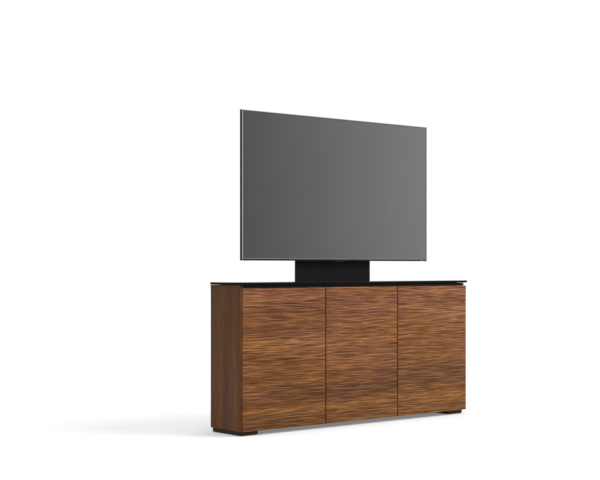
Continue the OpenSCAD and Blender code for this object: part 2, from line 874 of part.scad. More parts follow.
module power_board() {
    parts = [[-50, -50, 60, 45, 14], [20, 0, 26, 26, 15], [-50, 20, 40, 30, 12]];
    color("#3f7a4f") place() board(-board_x, screen_mid_z, board_w, board_h, parts);
}

side_panel(-1);  // side_panel_left
side_panel(1);  // side_panel_right
partition(-1);  // partition_left
partition(1);  // partition_right
bottom_panel();
top_panel();
top_front_rail();
upper_back_rail();
lower_back_rail();
back_panel(0);  // back_panel_left
back_panel(1);  // back_panel_center
back_panel(2);  // back_panel_right
cable_grommets();
back_panel_screws();
shelf(0);  // shelf_left
shelf(1);  // shelf_center
shelf(2);  // shelf_right
shelf_pins();
foot(-1);  // foot_left
foot(1);  // foot_right
foot_pads();
glass_top();
glass_bumpers();
door(0);  // door_left
door(1);  // door_center
door(2);  // door_right
hinge_cups(0);  // hinge_cups_left
hinge_cups(1);  // hinge_cups_center
hinge_cups(2);  // hinge_cups_right
hinge_links(0);  // hinge_links_left
hinge_links(1);  // hinge_links_center
hinge_links(2);  // hinge_links_right
hinge_arms();
hinge_plates();
latch_housings();
latch_plunger(0);  // latch_plunger_left
latch_plunger(1);  // latch_plunger_center
latch_plunger(2);  // latch_plunger_right
latch_strike(0);  // latch_strike_left
latch_strike(1);  // latch_strike_center
latch_strike(2);  // latch_strike_right
post(-1);  // post_left
post(1);  // post_right
post_caps();
post_bolts();
mount_crossbar();
mount_plate();
plate_bolts();
column_cover();
cover_clips();
hook_bracket(-1);  // hook_bracket_left
hook_bracket(1);  // hook_bracket_right
bracket_bolts();
screen_bezel();
display_panel();
backlight_tray();
screen_back_cover();
power_inlet();
main_board();
power_board();
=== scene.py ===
import json
import math

import bmesh
import bpy
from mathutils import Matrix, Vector

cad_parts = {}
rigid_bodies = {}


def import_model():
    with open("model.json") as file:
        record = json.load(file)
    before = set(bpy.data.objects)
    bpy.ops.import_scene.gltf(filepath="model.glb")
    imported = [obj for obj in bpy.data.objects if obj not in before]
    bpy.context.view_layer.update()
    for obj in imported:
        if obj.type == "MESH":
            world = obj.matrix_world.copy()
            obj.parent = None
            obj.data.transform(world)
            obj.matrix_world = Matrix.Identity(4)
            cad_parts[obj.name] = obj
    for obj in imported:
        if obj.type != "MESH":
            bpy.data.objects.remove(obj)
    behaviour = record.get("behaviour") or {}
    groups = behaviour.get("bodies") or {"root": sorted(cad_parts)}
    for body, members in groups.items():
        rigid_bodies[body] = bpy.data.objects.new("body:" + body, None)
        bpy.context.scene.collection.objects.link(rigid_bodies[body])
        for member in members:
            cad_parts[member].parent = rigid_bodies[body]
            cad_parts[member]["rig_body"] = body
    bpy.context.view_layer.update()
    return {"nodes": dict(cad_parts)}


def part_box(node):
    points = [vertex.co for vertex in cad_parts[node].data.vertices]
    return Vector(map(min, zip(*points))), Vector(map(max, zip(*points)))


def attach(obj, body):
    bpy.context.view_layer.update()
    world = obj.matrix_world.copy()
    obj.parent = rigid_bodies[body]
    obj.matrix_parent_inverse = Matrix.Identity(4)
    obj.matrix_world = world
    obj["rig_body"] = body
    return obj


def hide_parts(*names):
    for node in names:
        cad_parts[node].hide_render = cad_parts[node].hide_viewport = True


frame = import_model()
cadNodes = frame["nodes"]
scene = bpy.context.scene
scene.view_settings.view_transform = "Standard"
print("frame loaded:", len(cadNodes), "nodes")

# Small helpers for node trees
noiseLow, noiseHigh = 0.3, 0.7     # nearly all of a noise's values lie between these


def addNode(tree, kind, inputs=None, **settings):
    node = tree.nodes.new(kind)
    for key, value in settings.items():
        setattr(node, key, value)
    for key, value in (inputs or {}).items():
        if isinstance(value, bpy.types.NodeSocket):
            tree.links.new(value, node.inputs[key])
        else:
            node.inputs[key].default_value = value
    return node


def maths(tree, operation, first, second=0.0, clamp=False):
    node = addNode(tree, "ShaderNodeMath", {0: first, 1: second},
                   operation=operation, use_clamp=clamp)
    return node.outputs[0]


def blendColours(tree, share, first, second, way="MIX"):
    mix = addNode(tree, "ShaderNodeMix", {0: share, 6: first, 7: second},
                  data_type="RGBA", blend_type=way)
    return mix.outputs[2]


def tinted(tree, colour, factor):
    return blendColours(tree, 1.0, colour, factor, "MULTIPLY")


def spread(tree, value, low, high, outLow=0.0, outHigh=1.0):
    inputs = {0: value, 1: low, 2: high, 3: outLow, 4: outHigh}
    return addNode(tree, "ShaderNodeMapRange", inputs, clamp=True).outputs[0]


def spreadNoise(tree, noise, outLow, outHigh):
    return spread(tree, noise, noiseLow, noiseHigh, outLow, outHigh)


def newFinish(name, **sockets):
    finish = bpy.data.materials.new(name)
    finish.use_nodes = True
    shader = finish.node_tree.nodes["Principled BSDF"]
    for label, value in sockets.items():
        shader.inputs[label.replace("_", " ")].default_value = value
    return finish, finish.node_tree, shader


def objectCoords(tree, scale=(1, 1, 1)):
    coords = addNode(tree, "ShaderNodeTexCoord").outputs["Object"]
    return addNode(tree, "ShaderNodeMapping", {"Vector": coords, "Scale": scale}).outputs["Vector"]


def noiseOn(tree, coords, scale, detail=2.0, rough=0.5, distortion=0.0):
    inputs = {"Vector": coords, "Scale": scale, "Detail": detail,
              "Roughness": rough, "Distortion": distortion}
    return addNode(tree, "ShaderNodeTexNoise", inputs).outputs["Fac"]


def bumpFrom(tree, shader, height, strength, distance):
    inputs = {"Height": height, "Strength": strength, "Distance": distance}
    normal = addNode(tree, "ShaderNodeBump", inputs).outputs["Normal"]
    tree.links.new(normal, shader.inputs["Normal"])


def grey(level):
    return (level, level, level, 1.0)


def greyFrom(tree, tone):
    return addNode(tree, "ShaderNodeCombineColor", {0: tone, 1: tone, 2: tone}).outputs[0]


# Small helpers for meshes
sameSpot = 1e-6                    # vertices this near are one


def newPiece(name, data):
    piece = bpy.data.objects.new(name, data)
    scene.collection.objects.link(piece)
    return piece


def finishMesh(bm, name):
    mesh = bpy.data.meshes.new(name)
    bm.to_mesh(mesh)
    bm.free()
    return mesh


def applyModifiers(piece):
    bpy.context.view_layer.update()
    graph = bpy.context.evaluated_depsgraph_get()
    solid = bpy.data.meshes.new_from_object(piece.evaluated_get(graph))
    piece.modifiers.clear()
    rough = piece.data
    piece.data = solid
    bpy.data.meshes.remove(rough)


def cutAway(piece, cutter, overlapping=False):
    cut = piece.modifiers.new(cutter.name, "BOOLEAN")
    cut.operation = "DIFFERENCE"
    cut.solver = "EXACT"
    cut.use_self = overlapping
    cut.object = cutter
    applyModifiers(piece)
    bpy.data.objects.remove(cutter)


def hasTwoFaces(edge):
    return len(edge.link_faces) == 2


def turnTo(facing):
    return Vector(facing).to_track_quat("Z", "Y")


def setDown(bm, verts, facing, spot):
    bmesh.ops.rotate(bm, verts=verts, matrix=turnTo(facing).to_matrix())
    bmesh.ops.translate(bm, verts=verts, vec=spot)


def addRound(bm, sides, lowRadius, highRadius, length, facing, spot):
    made = bmesh.ops.create_cone(bm, cap_ends=True, segments=sides, radius1=lowRadius,
                                 radius2=highRadius, depth=length)
    setDown(bm, made["verts"], facing, spot)


def addBox(bm, low, high, finishIndex):
    verts = bmesh.ops.create_cube(bm, size=1.0)["verts"]
    for vert in verts:
        vert.co = Vector(high[axis] if vert.co[axis] > 0 else low[axis] for axis in range(3))
    for face in {face for vert in verts for face in vert.link_faces}:
        face.material_index = finishIndex


# Camera, level, at the photograph's angle, for a 600 by 480 picture
cameraLook = {
    "place": (-4.813, -5.340, 0.860),
    "heading": 40.0,
    "lens": 78.0,
    "sensor": 36.0,
    "pictureWidth": 600,
    "horizonBelowMiddle": 26.5,  # in pixels
}


def placeCamera(look):
    lens = bpy.data.cameras.new("camera")
    lens.lens = look["lens"]
    lens.sensor_width = look["sensor"]
    lens.sensor_fit = "HORIZONTAL"
    lens.shift_y = look["horizonBelowMiddle"] / look["pictureWidth"]
    camera = newPiece("camera", lens)
    camera.location = look["place"]
    camera.rotation_euler = (math.radians(90), 0, -math.radians(look["heading"]))
    scene.camera = camera


placeCamera(cameraLook)

# Floor, backdrop and lights
studio = {
    "floorSize": 60.0,
    "floorColour": 0.50,
    "floorGlow": 0.65,         # seen by the camera and in reflections only, so shadows stay
    "shadeReach": 0.30,        # how far the painted shade under the cabinet spreads
    "shadeFloor": 0.30,        # what the darkest part keeps of the glow
    "shadeSamples": 12,
    "skyLevel": 0.50,
    "sunFrom": (0.62, -0.52, 0.60),
    "sunStrength": 2.9,
    "sunWidth": 42.0,          # degrees
}


def seenOrMirrored(tree):
    path = addNode(tree, "ShaderNodeLightPath").outputs
    mirrored = maths(tree, "MAXIMUM", path["Is Glossy Ray"], path["Is Transmission Ray"])
    return maths(tree, "MAXIMUM", path["Is Camera Ray"], mirrored)


def buildFloor(look):
    half = look["floorSize"] / 2
    corners = [(-half, -half, 0), (half, -half, 0), (half, half, 0), (-half, half, 0)]
    mesh = bpy.data.meshes.new("floor")
    mesh.from_pydata(corners, [], [(0, 1, 2, 3)])
    floor = newPiece("floor", mesh)
    finish, tree, shader = newFinish("paleFloor", Base_Color=grey(look["floorColour"]),
                                     Roughness=1.0, Specular_IOR_Level=0.0,
                                     Emission_Color=grey(1.0))
    # Painted shade: the floor's glow dims where the cabinet hides it, by ambient occlusion
    shade = addNode(tree, "ShaderNodeAmbientOcclusion", {"Distance": look["shadeReach"]},
                    samples=look["shadeSamples"])
    kept = spread(tree, shade.outputs["AO"], 0.0, 1.0, look["shadeFloor"], 1.0)
    glow = maths(tree, "MULTIPLY", seenOrMirrored(tree), look["floorGlow"])
    glow = maths(tree, "MULTIPLY", glow, kept)
    tree.links.new(glow, shader.inputs["Emission Strength"])
    mesh.materials.append(finish)


def buildLights(look):
    world = bpy.data.worlds.new("studio")
    world.use_nodes = True
    scene.world = world
    tree = world.node_tree
    level = spread(tree, seenOrMirrored(tree), 0.0, 1.0, look["skyLevel"], 1.0)
    sky = tree.nodes["Background"]
    sky.inputs["Color"].default_value = grey(1.0)
    tree.links.new(level, sky.inputs["Strength"])

    lamp = bpy.data.lights.new("softSun", "SUN")
    lamp.energy = look["sunStrength"]
    lamp.angle = math.radians(look["sunWidth"])
    sun = newPiece("softSun", lamp)
    sun.rotation_euler = turnTo(look["sunFrom"]).to_euler()


buildFloor(studio)
buildLights(studio)
print("camera, floor and lights placed")

# Walnut: figure bands, fine streaks and open pores along the grain.
# Each noise is given per metre, then its detail, roughness and bend
walnutLook = {
    "deep": (0.060, 0.023, 0.008, 1),
    "middle": (0.150, 0.063, 0.023, 1),
    "pale": (0.240, 0.114, 0.043, 1),
    "bandStops": (0.34, 0.50, 0.68),       # where the figure is deep, middle and pale
    "rosy": (0.190, 0.071, 0.037, 1),
    "golden": (0.158, 0.062, 0.004, 1),
    "hueSpan": (0.38, 0.62),
    "hueShare": 0.40,
    "figure": (13.0, 4.0, 0.55, 0.55),
    "patches": (6.5, 1.5, 0.5),
    "streaks": (170.0, 3.0, 0.6),
    "streakSpan": (0.25, 0.75),
    "pores": (900.0, 1.0, 0.5),
    "poreSpan": (0.32, 0.42),
    "poreTone": 0.70,
    "stretch": 0.055,                      # scale along the grain against across it
    "patchStretch": 0.22,
    "gloss": (0.43, 0.60),                 # roughness between the streaks and on them
    "glossSpan": (0.2, 0.8),
    "specular": 0.15,
    "bump": 0.35,
    "bumpDepth": 0.0004,
    "streakHeight": 0.5,                   # against a pore's
    "rubbed": 1.25,                        # how much paler the eased edges are: a painted highlight
    "flatTint": (0.93, 0.91, 0.86),
    "flatSwing": 0.32,
    "flatShade": (0.10, 0.74, 1.05, 0.82),     # from and to this height, tone there: painted shade, darker towards the top
    "carvedTint": (1.29, 1.12, 0.89),
    "carvedSwing": 0.36,
    # Painted shade on the doors, darker towards the bottom: from and to this height, tone there
    "carvedShade": (0.12, 0.48, 0.89, 1.0),
    # Painted shade in the carving's grooves and painted highlight on its crests
    "groovePaintedShade": (0.38, 0.27, 0.18, 1),
    "crestPaintedHighlight": (1.36, 1.47, 1.60, 1),
    "reliefSpan": (0.08, 0.72),
    "goldenBelow": 0.12,                   # doors turn from rosy to golden between these
    "rosyAbove": 0.95,
    "hueShift": 0.16,
}


def walnutFinish(name, look, along, brightness=1.0, carved=False):
    kind = "carved" if carved else "flat"
    finish, tree, shader = newFinish(name, Specular_IOR_Level=look["specular"])
    scale = [look["stretch"] if axis == along else 1.0 for axis in "XYZ"]
    wideScale = [look["patchStretch"] if axis == along else 1.0 for axis in "XYZ"]
    grain = objectCoords(tree, scale)
    figure = noiseOn(tree, grain, *look["figure"])
    streaks = noiseOn(tree, grain, *look["streaks"])
    pores = noiseOn(tree, grain, *look["pores"])
    patches = noiseOn(tree, objectCoords(tree, wideScale), *look["patches"])
    rise = addNode(tree, "ShaderNodeSeparateXYZ", {0: objectCoords(tree)}).outputs[2]

    # Bands between three browns, warmed by rosy and golden patches
    bands = addNode(tree, "ShaderNodeValToRGB", {"Fac": figure})
    stops = bands.color_ramp.elements
    low, middle, high = look["bandStops"]
    stops[0].position, stops[0].color = low, look["deep"]
    stops[1].position, stops[1].color = high, look["pale"]
    stops.new(middle).color = look["middle"]
    if carved:
        shift = look["hueShift"]
        fall = spread(tree, rise, look["goldenBelow"], look["rosyAbove"], shift, -shift)
        patches = maths(tree, "ADD", patches, fall)
    hue = spread(tree, patches, *look["hueSpan"])
    hue = blendColours(tree, hue, look["rosy"], look["golden"])
    colour = blendColours(tree, look["hueShare"], bands.outputs["Color"], hue)

    # Streaks, pores, painted shade and highlight on the carving, and painted shade that changes
    # slowly with height
    swing = look[kind + "Swing"]
    colour = tinted(tree, colour, spread(tree, streaks, *look["streakSpan"], 1 - swing, 1 + swing))
    poreTone = spread(tree, pores, *look["poreSpan"], look["poreTone"], 1.0)
    colour = tinted(tree, colour, poreTone)
    if carved:
        # Painted shade in the grooves and painted highlight on the crests of the carving
        relief = addNode(tree, "ShaderNodeAttribute", attribute_name="relief").outputs["Fac"]
        relief = spread(tree, relief, *look["reliefSpan"])
        tone = blendColours(tree, relief, look["groovePaintedShade"], look["crestPaintedHighlight"])
        colour = tinted(tree, colour, tone)
    # Painted shade that changes slowly with height
    colour = tinted(tree, colour, spread(tree, rise, *look[kind + "Shade"]))
    tint = [part * brightness for part in look[kind + "Tint"]]
    colour = tinted(tree, colour, (*tint, 1.0))
    tree.links.new(colour, shader.inputs["Base Color"])
    rough = spread(tree, streaks, *look["glossSpan"], *look["gloss"])
    tree.links.new(rough, shader.inputs["Roughness"])
    height = maths(tree, "MULTIPLY", streaks, look["streakHeight"])
    height = maths(tree, "ADD", height, poreTone)
    bumpFrom(tree, shader, height, look["bump"], look["bumpDepth"])
    return finish


# Painted, stained and moulded finishes: an even colour with a fine and a broad grain
plainGrain = {
    "broader": 40,             # the broad grain against the fine one
    "fine": (3.0, 0.6),        # detail and roughness
    "broad": (2.0, 0.5),
    "roughSwing": 0.06,
    "bump": 0.25,
    "bumpDepth": 0.0003,
}


def plainLook(colour, rough, perMetre, swing, along=(1, 1, 1), specular=0.12):
    return {"colour": colour, "rough": rough, "perMetre": perMetre, "swing": swing,
            "along": along, "specular": specular}


plainLooks = {
    # dark_rail is made near black: painted shade of the recess under the glass
    "dark_rail": plainLook((0.010, 0.007, 0.005), 0.6, 240, 0.35, (0.05, 1, 1)),
    "back_board": plainLook((0.026, 0.025, 0.024), 0.6, 700, 0.25),
    "black_foot": plainLook((0.044, 0.029, 0.014), 0.5, 260, 0.4, (1, 0.06, 1)),
    "felt": plainLook((0.010, 0.010, 0.010), 1.0, 1800, 0.6),
    "latch_plastic": plainLook((0.55, 0.54, 0.50), 0.45, 1600, 0.08),
    "black_steel": plainLook((0.022, 0.022, 0.023), 0.5, 1500, 0.30),
    "black_plastic": plainLook((0.034, 0.034, 0.036), 0.5, 1100, 0.20),
    "circuit_board": plainLook((0.012, 0.110, 0.045), 0.35, 160, 0.45),
}
# A lighter, glossier black steel for eased edges is a painted highlight; the darker one below, for
# the column cover, is painted shade
steelEdgeHighlightLook = plainLook((0.05, 0.05, 0.05), 0.5, 1500, 0.30, specular=0.4)
coverPaintedShadeLook = plainLook((0.006, 0.006, 0.006), 0.5, 1500, 0.30, specular=0.07)


def grainedFinish(name, look):
    finish, tree, shader = newFinish(name, Specular_IOR_Level=look["specular"])
    coords = objectCoords(tree, look["along"])
    fine = noiseOn(tree, coords, look["perMetre"], *plainGrain["fine"])
    broad = noiseOn(tree, coords, look["perMetre"] / plainGrain["broader"], *plainGrain["broad"])
    both = maths(tree, "MULTIPLY", maths(tree, "ADD", fine, broad), 0.5)
    tone = spreadNoise(tree, both, 1 - look["swing"], 1 + look["swing"])
    colour = tinted(tree, (*look["colour"], 1.0), tone)
    tree.links.new(colour, shader.inputs["Base Color"])
    swing = plainGrain["roughSwing"]
    rough = spreadNoise(tree, fine, look["rough"] - swing, look["rough"] + swing)
    tree.links.new(rough, shader.inputs["Roughness"])
    bumpFrom(tree, shader, fine, plainGrain["bump"], plainGrain["bumpDepth"])
    return finish


# Plated and plain metal, brushed upright and faintly stained
platedGrain = {
    "brush": (900.0, 2.0, 0.6),
    "brushStretch": 0.04,
    "stains": (40.0, 3.0, 0.6),
    "stainTone": (0.88, 1.05),
    "smoother": 0.07,
    "rougher": 0.10,
    "bump": 0.15,
    "bumpDepth": 0.0002,
}
platedLooks = {
    "hinge_steel": ("nickelPlate", (0.62, 0.61, 0.58), 0.28),
    "bolt_steel": ("zincPlate", (0.52, 0.53, 0.55), 0.34),
    # The tray is made near black: painted shade inside the screen's back cover
    "tray_steel": ("plainSheet", (0.03, 0.03, 0.03), 0.60),
}


def platedFinish(name, tone, rough):
    look = platedGrain
    finish, tree, shader = newFinish(name, Metallic=1.0)
    brushed = noiseOn(tree, objectCoords(tree, (1, 1, look["brushStretch"])), *look["brush"])
    stains = noiseOn(tree, objectCoords(tree), *look["stains"])
    colour = tinted(tree, (*tone, 1.0), spreadNoise(tree, stains, *look["stainTone"]))
    tree.links.new(colour, shader.inputs["Base Color"])
    rough = spreadNoise(tree, brushed, rough - look["smoother"], rough + look["rougher"])
    tree.links.new(rough, shader.inputs["Roughness"])
    bumpFrom(tree, shader, brushed, look["bump"], look["bumpDepth"])
    return finish


# Glass and glossy plastic: grey level, roughness and how strongly they mirror
glassLooks = {
    "black_glass": ("blackGlass", 0.004, 0.03, 0.5),
    "bezel": ("darkBezel", 0.008, 0.25, 0.15),
}
groundEdgeLook = ("groundGlassEdge", 0.003, 0.35, 0.05)
smearLook = {
    "noise": (9.0, 4.0, 0.65, 0.4),
    "swing": 0.15,
    "span": (0.35, 0.7),
    "rougher": 0.06,
}


def glassFinish(name, level, rough, specular):
    finish, tree, shader = newFinish(name, Specular_IOR_Level=specular)
    smears = noiseOn(tree, objectCoords(tree), *smearLook["noise"])
    swing = smearLook["swing"]
    tone = spreadNoise(tree, smears, level * (1 - swing), level * (1 + swing))
    tree.links.new(greyFrom(tree, tone), shader.inputs["Base Color"])
    rough = spread(tree, smears, *smearLook["span"], rough, rough + smearLook["rougher"])
    tree.links.new(rough, shader.inputs["Roughness"])
    return finish


rubberLook = {
    "clear": 0.6,
    "bending": 1.42,
    "haze": (500.0, 2.0),
    "rough": (0.2, 0.45),
    "tone": (0.75, 0.85),
}


def rubberFinish(name, look):
    finish, tree, shader = newFinish(name, Transmission_Weight=look["clear"], IOR=look["bending"])
    haze = noiseOn(tree, objectCoords(tree), *look["haze"])
    tree.links.new(spreadNoise(tree, haze, *look["rough"]), shader.inputs["Roughness"])
    tone = spreadNoise(tree, haze, *look["tone"])
    tree.links.new(greyFrom(tree, tone), shader.inputs["Base Color"])
    return finish


# The switched-off screen is darker at its left end than at its right: a painted reflection across
# its width
screenLookWithPaintedReflection = {
    "left": 0.040,
    "right": 0.155,
    "halfWidth": 0.688,
    "clouds": (3.0, 2.0),
    "cloudTone": (0.97, 1.03),
    "speckles": (2500.0, 1.0),
    "rough": (0.16, 0.21),
    "specular": 0.5,
}


def displayFinish(name, look):
    finish, tree, shader = newFinish(name, Specular_IOR_Level=look["specular"])
    across = addNode(tree, "ShaderNodeSeparateXYZ", {0: objectCoords(tree)}).outputs[0]
    # Painted reflection: the grey level rises from the left end to the right
    level = spread(tree, across, -look["halfWidth"], look["halfWidth"],
                   look["left"], look["right"])
    cloud = noiseOn(tree, objectCoords(tree), *look["clouds"])
    level = maths(tree, "MULTIPLY", level, spreadNoise(tree, cloud, *look["cloudTone"]))
    tree.links.new(greyFrom(tree, level), shader.inputs["Base Color"])
    speckle = noiseOn(tree, objectCoords(tree), *look["speckles"])
    tree.links.new(spreadNoise(tree, speckle, *look["rough"]), shader.inputs["Roughness"])
    return finish


finishes = {name: grainedFinish(name, look) for name, look in plainLooks.items()}
finishes |= {name: platedFinish(*look) for name, look in platedLooks.items()}
finishes |= {name: glassFinish(*look) for name, look in glassLooks.items()}
finishes["walnut"] = walnutFinish("uprightWalnut", walnutLook, "Z")
finishes["carved_walnut"] = walnutFinish("carvedWalnut", walnutLook, "X", carved=True)
finishes["clear_pad"] = rubberFinish("clearSilicone", rubberLook)
finishes["display"] = displayFinish("switchedOffScreen", screenLookWithPaintedReflection)

# Finishes of some edges and pieces inside those slots: painted highlights on eased walnut and
# steel edges, painted shade on the column cover
levelWalnut = walnutFinish("levelWalnut", walnutLook, "X")
# Eased walnut edges are drawn paler: a painted highlight
walnutEdgeHighlight = walnutFinish("rubbedWalnutEdge", walnutLook, "Z", walnutLook["rubbed"])
steelEdgeHighlight = grainedFinish("rubbedBlackSteel", steelEdgeHighlightLook)
coverPaintedShade = grainedFinish("shadedBlackSteel", coverPaintedShadeLook)
glassEdge = glassFinish(*groundEdgeLook)
levelBoards = ("bottom_panel", "top_panel", "shelf_left", "shelf_center", "shelf_right",
               "upper_back_rail", "lower_back_rail")

for node in cadNodes.values():
    slotName = node.data.materials[0].name.split(".")[0]
    node["slotName"] = slotName
    node.data.materials[0] = finishes[slotName]
for name in levelBoards:
    cadNodes[name].data.materials[0] = levelWalnut
# The column cover gets a darker copy of black steel: painted shade under the screen
cadNodes["column_cover"].data.materials[0] = coverPaintedShade
print("finishes made:", len(finishes), "and five for edges and single pieces")

# Carved doors: overlapping long gouge strokes over the whole front
carvedDoor = {
    "columns": 113,
    "rows": 480,
    "relief": 0.0048,          # deepest stroke
    "strokeLength": 0.185,
    "strokePitch": 0.0124,
    "sway": 0.013,             # how far strokes bend up and down
    "flutter": 0.009,          # and how far they part and join on a short scale
    "rim": 0.0045,             # strokes fade out this near to the upright edges
    "rimDrop": 0.0036,         # how far those edges are eased back
    # The eased upright edges get a dark tone: painted shade along the gaps between the doors
    "rimTone": 0.12,
    "backTone": 0.70,
    "skim": 0.0003,
    "cupInset": 0.0225,        # hinge edge to cup centre
    "cupRadius": 0.0175,
    "cupDepth": 0.012,
    "cupSides": 64,
    "cupHalf": 0.026,          # half the height of a cup's flange
    "smoothAngle": 50,
    "flatBack": 0.99,          # faces that look back as straight as this stay flat
    "backSlack": 1e-5,
    "seeds": {"left": 3, "center": 8, "right": 14},
}
gougeLook = {
    "sets": ((1.0, 0.0), (1.45, 7.3)),     # fineness and shift of each set of gouges
    "scatter": 0.95,
    "steepness": 1.45,
    "hollow": 2.0,                         # power of a stroke's cross-section
    "ripples": (0.9, 1.5),                 # per cell, and their detail
    "rippleSpan": (0.25, 0.75),
    "shallowest": 0.32,                    # share of a set's depth
    "waves": (2.4, 6.0),                   # per metre, across and up
    "flutterFiner": (6.0, 1.0, 7.0),
    "swayDetail": 2.0,
    "flutterDetail": 1.0,
    "carvedBefore": -0.25,                 # of the door's thickness, from its middle
}


def gougeDepth(tree, look, stroke, fineness, shift):
    # One set of gouges: each cell is a stroke, deepest along its middle
    inputs = {0: stroke, 1: (fineness,) * 3, 2: (shift,) * 3}
    place = addNode(tree, "ShaderNodeVectorMath", inputs, operation="MULTIPLY_ADD").outputs[0]
    inputs = {"Vector": place, "Scale": 1.0, "Randomness": look["scatter"]}
    cells = addNode(tree, "ShaderNodeTexVoronoi", inputs,
                    voronoi_dimensions="2D", feature="F1").outputs["Distance"]
    crest = maths(tree, "MULTIPLY", cells, look["steepness"])
    crest = maths(tree, "POWER", crest, look["hollow"], clamp=True)
    ripple = noiseOn(tree, place, *look["ripples"])
    swell = spread(tree, ripple, *look["rippleSpan"], look["shallowest"], 1.0)
    swell = maths(tree, "DIVIDE", swell, math.sqrt(fineness))
    return maths(tree, "MULTIPLY", maths(tree, "SUBTRACT", 1.0, crest), swell)


def waver(tree, coords, detail, reach):
    noise = noiseOn(tree, coords, 1.0, detail)
    return maths(tree, "MULTIPLY", maths(tree, "SUBTRACT", noise, 0.5), reach)


def carvingTree(look):
    tree = bpy.data.node_groups.new("carvedDoor", "GeometryNodeTree")
    sockets = (("Size", "Vector"), ("Place", "Vector"), ("Columns", "Int"), ("Rows", "Int"),
               ("Relief", "Float"), ("Stroke Length", "Float"), ("Stroke Pitch", "Float"),
               ("Sway", "Float"), ("Flutter", "Float"), ("Skim", "Float"), ("Rim", "Float"),
               ("Rim Drop", "Float"), ("Rim Tone", "Float"), ("Back Tone", "Float"),
               ("Seed", "Float"), ("Finish", "Material"))
    for label, kind in sockets:
        tree.interface.new_socket(label, in_out="INPUT", socket_type="NodeSocket" + kind)
    tree.interface.new_socket("Geometry", in_out="OUTPUT", socket_type="NodeSocketGeometry")
    given = addNode(tree, "NodeGroupInput").outputs
    block = addNode(tree, "GeometryNodeMeshCube", {
        "Size": given["Size"],
        "Vertices X": given["Columns"], "Vertices Y": 2, "Vertices Z": given["Rows"]})
    position = addNode(tree, "GeometryNodeInputPosition").outputs[0]
    spot = addNode(tree, "ShaderNodeSeparateXYZ", {0: position}).outputs

    # Strokes bend with a slow wave, then stretched cell patterns cut them
    slowX = maths(tree, "MULTIPLY", spot[0], look["waves"][0])
    slowZ = maths(tree, "MULTIPLY", spot[2], look["waves"][1])
    inputs = {0: slowX, 1: given["Seed"], 2: slowZ}
    slow = addNode(tree, "ShaderNodeCombineXYZ", inputs).outputs[0]
    quick = addNode(tree, "ShaderNodeVectorMath", {0: slow, 1: look["flutterFiner"]},
                    operation="MULTIPLY").outputs[0]
    sway = waver(tree, slow, look["swayDetail"], given["Sway"])
    bent = maths(tree, "ADD", spot[2], sway)
    flutter = waver(tree, quick, look["flutterDetail"], given["Flutter"])
    bent = maths(tree, "ADD", bent, flutter)
    up = maths(tree, "DIVIDE", bent, given["Stroke Pitch"])
    along = maths(tree, "DIVIDE", spot[0], given["Stroke Length"])
    along = maths(tree, "ADD", along, given["Seed"])
    stroke = addNode(tree, "ShaderNodeCombineXYZ", {0: along, 1: up, 2: 0.0}).outputs[0]
    depth = maths(tree, "MAXIMUM", *(gougeDepth(tree, look, stroke, *one) for one in look["sets"]))

    # They fade towards the upright edges, which are eased back
    whole = addNode(tree, "ShaderNodeSeparateXYZ", {0: given["Size"]}).outputs
    fromEdge = maths(tree, "MULTIPLY", whole[0], 0.5)
    fromEdge = maths(tree, "SUBTRACT", fromEdge, maths(tree, "ABSOLUTE", spot[0]))
    fade = maths(tree, "DIVIDE", fromEdge, given["Rim"], clamp=True)
    eased = maths(tree, "MULTIPLY", maths(tree, "SUBTRACT", 1.0, fade), given["Rim Drop"])
    cut = maths(tree, "MULTIPLY", maths(tree, "MULTIPLY", depth, given["Relief"]), fade)
    inward = maths(tree, "ADD", maths(tree, "ADD", cut, eased), given["Skim"])
    offset = addNode(tree, "ShaderNodeCombineXYZ", {1: inward}).outputs[0]
    frontLine = maths(tree, "MULTIPLY", whole[1], look["carvedBefore"])
    front = maths(tree, "LESS_THAN", spot[1], frontLine)
    height = maths(tree, "SUBTRACT", 1.0, depth)
    # Towards the upright edges the tone falls to the rim's painted shade
    tone = spread(tree, fade, 0.0, 1.0, given["Rim Tone"], height)
    tone = spread(tree, front, 0.0, 1.0, given["Back Tone"], tone)

    # Store the tone, move the front, place the door, and set its finish
    steps = (
        ("GeometryNodeStoreNamedAttribute", {"Name": "relief", "Value": tone}),
        ("GeometryNodeSetPosition", {"Selection": front, "Offset": offset}),
        ("GeometryNodeTransform", {"Translation": given["Place"]}),
        ("GeometryNodeRealizeInstances", {}),
        ("GeometryNodeSetMaterial", {"Material": given["Finish"]}))
    shape = block.outputs["Mesh"]
    for kind, inputs in steps:
        shape = addNode(tree, kind, {"Geometry": shape, **inputs}).outputs[0]
    addNode(tree, "NodeGroupOutput", {"Geometry": shape})
    return tree


def closeBack(piece, backY, slack):
    # The cube's fine back grid gives way to one flat face
    bm = bmesh.new()
    bm.from_mesh(piece.data)
    back = [face for face in bm.faces if all(vert.co.y > backY - slack for vert in face.verts)]
    bmesh.ops.delete(bm, geom=back, context="FACES")
    rim = [edge for edge in bm.edges if edge.is_boundary]
    bmesh.ops.contextual_create(bm, geom=rim)
    bmesh.ops.recalc_face_normals(bm, faces=bm.faces)
    bm.to_mesh(piece.data)
    bm.free()


def smoothUnder(piece, angle, flatBack):
    bm = bmesh.new()
    bm.from_mesh(piece.data)
    for face in bm.faces:
        face.smooth = face.normal.y < flatBack
    for edge in bm.edges:
        edge.smooth = hasTwoFaces(edge) and edge.calc_face_angle() < math.radians(angle)
    bm.to_mesh(piece.data)
    bm.free()


def cupCutter(look, cups, hingeX, inward, backY):
    bm = bmesh.new()
    low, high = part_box(cups)
    x = hingeX + inward * look["cupInset"]
    for height in (low.z + look["cupHalf"], high.z - look["cupHalf"]):
        addRound(bm, look["cupSides"], look["cupRadius"], look["cupRadius"], look["cupDepth"] * 2,
                 (0, 1, 0), (x, backY, height))
    return newPiece("cups", finishMesh(bm, "cups"))


